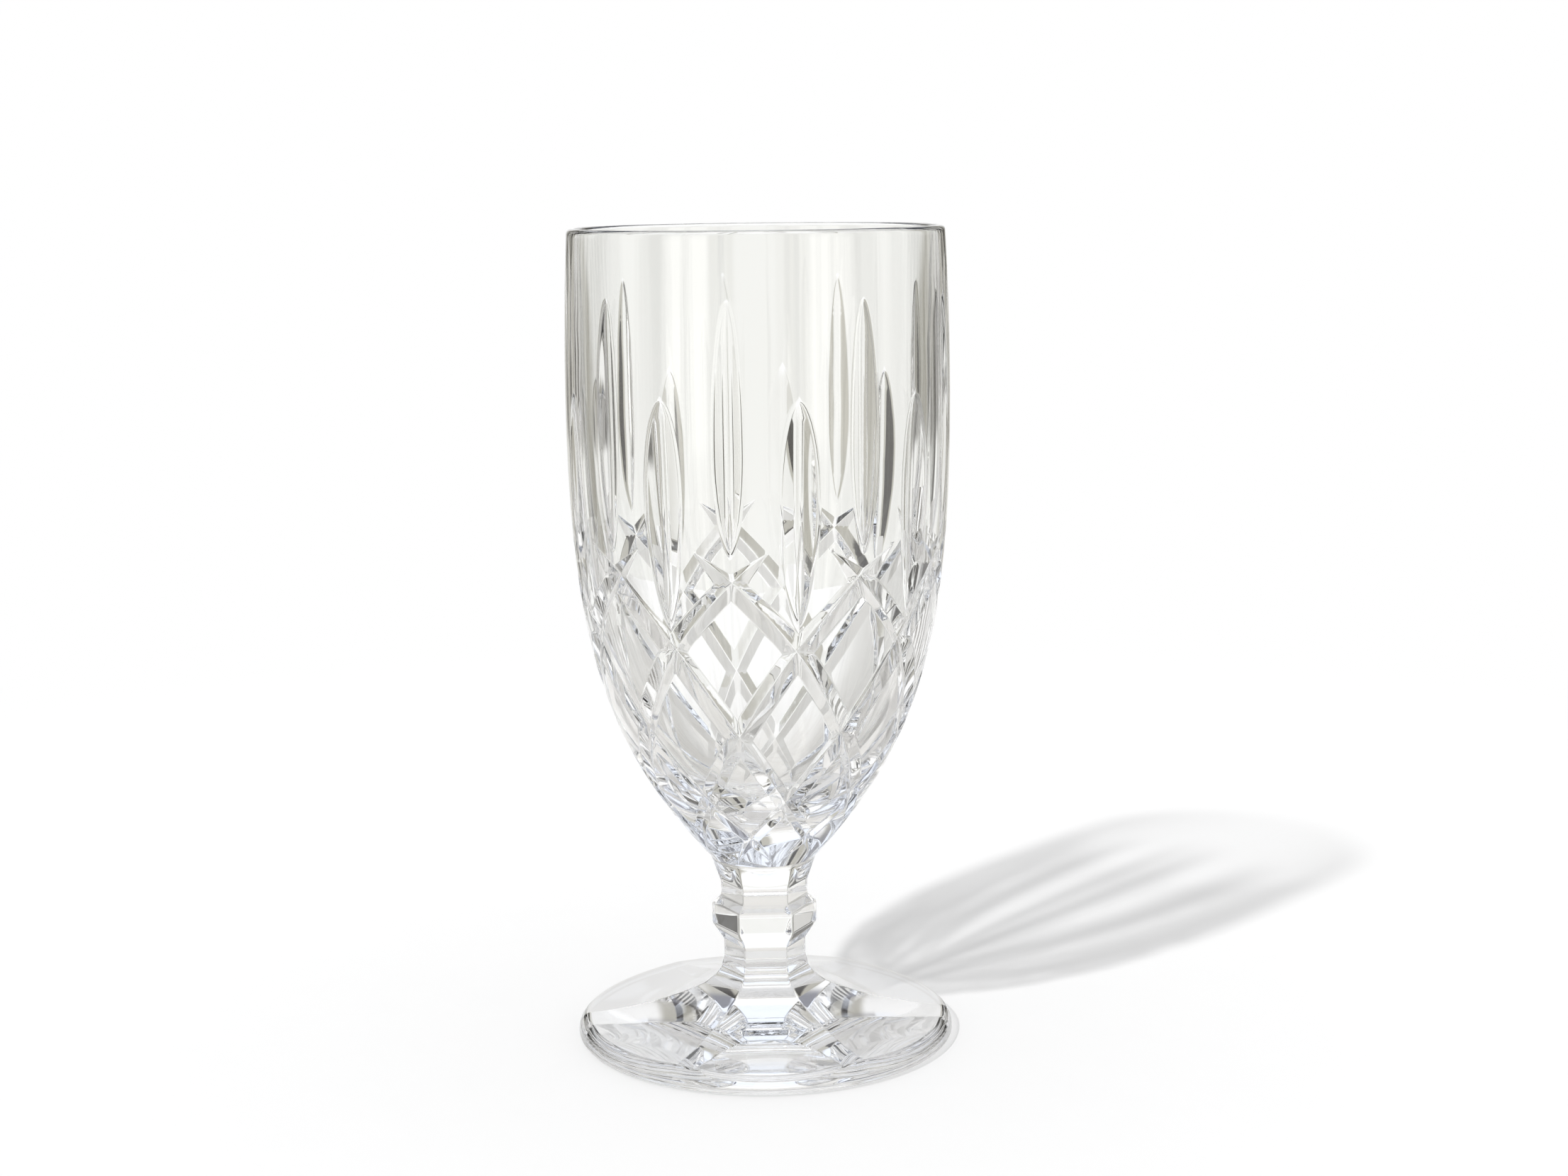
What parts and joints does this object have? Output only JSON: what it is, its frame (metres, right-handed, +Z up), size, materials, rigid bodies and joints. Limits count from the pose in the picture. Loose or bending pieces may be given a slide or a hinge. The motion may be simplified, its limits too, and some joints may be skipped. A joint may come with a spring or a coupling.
{
  "type": "footed beer glass",
  "caption": "Footed beer glass of clear cut crystal: round bowl with leaf and diamond cuts, six-sided stem with a knop, and a round foot with flat panels.",
  "frame": {"origin": "middle of the underside of the foot, on the plane that the glass stands on", "axes": "+Z up along the axis of the glass; -Y is the front, which a flat of the six-sided stem faces"},
  "size_m": [0.0876, 0.0876, 0.187],
  "materials": {
    "bowl_crystal": "clear fire-polished crystal with polished cuts",
    "stem_crystal": "clear polished crystal, flat facets",
    "foot_crystal": "clear polished crystal, flat panels and a rolled edge"
  },
  "bodies": {
    "root": {"bowl": "bowl_crystal", "stem": "stem_crystal", "foot": "foot_crystal"}
  },
  "joints": []
}
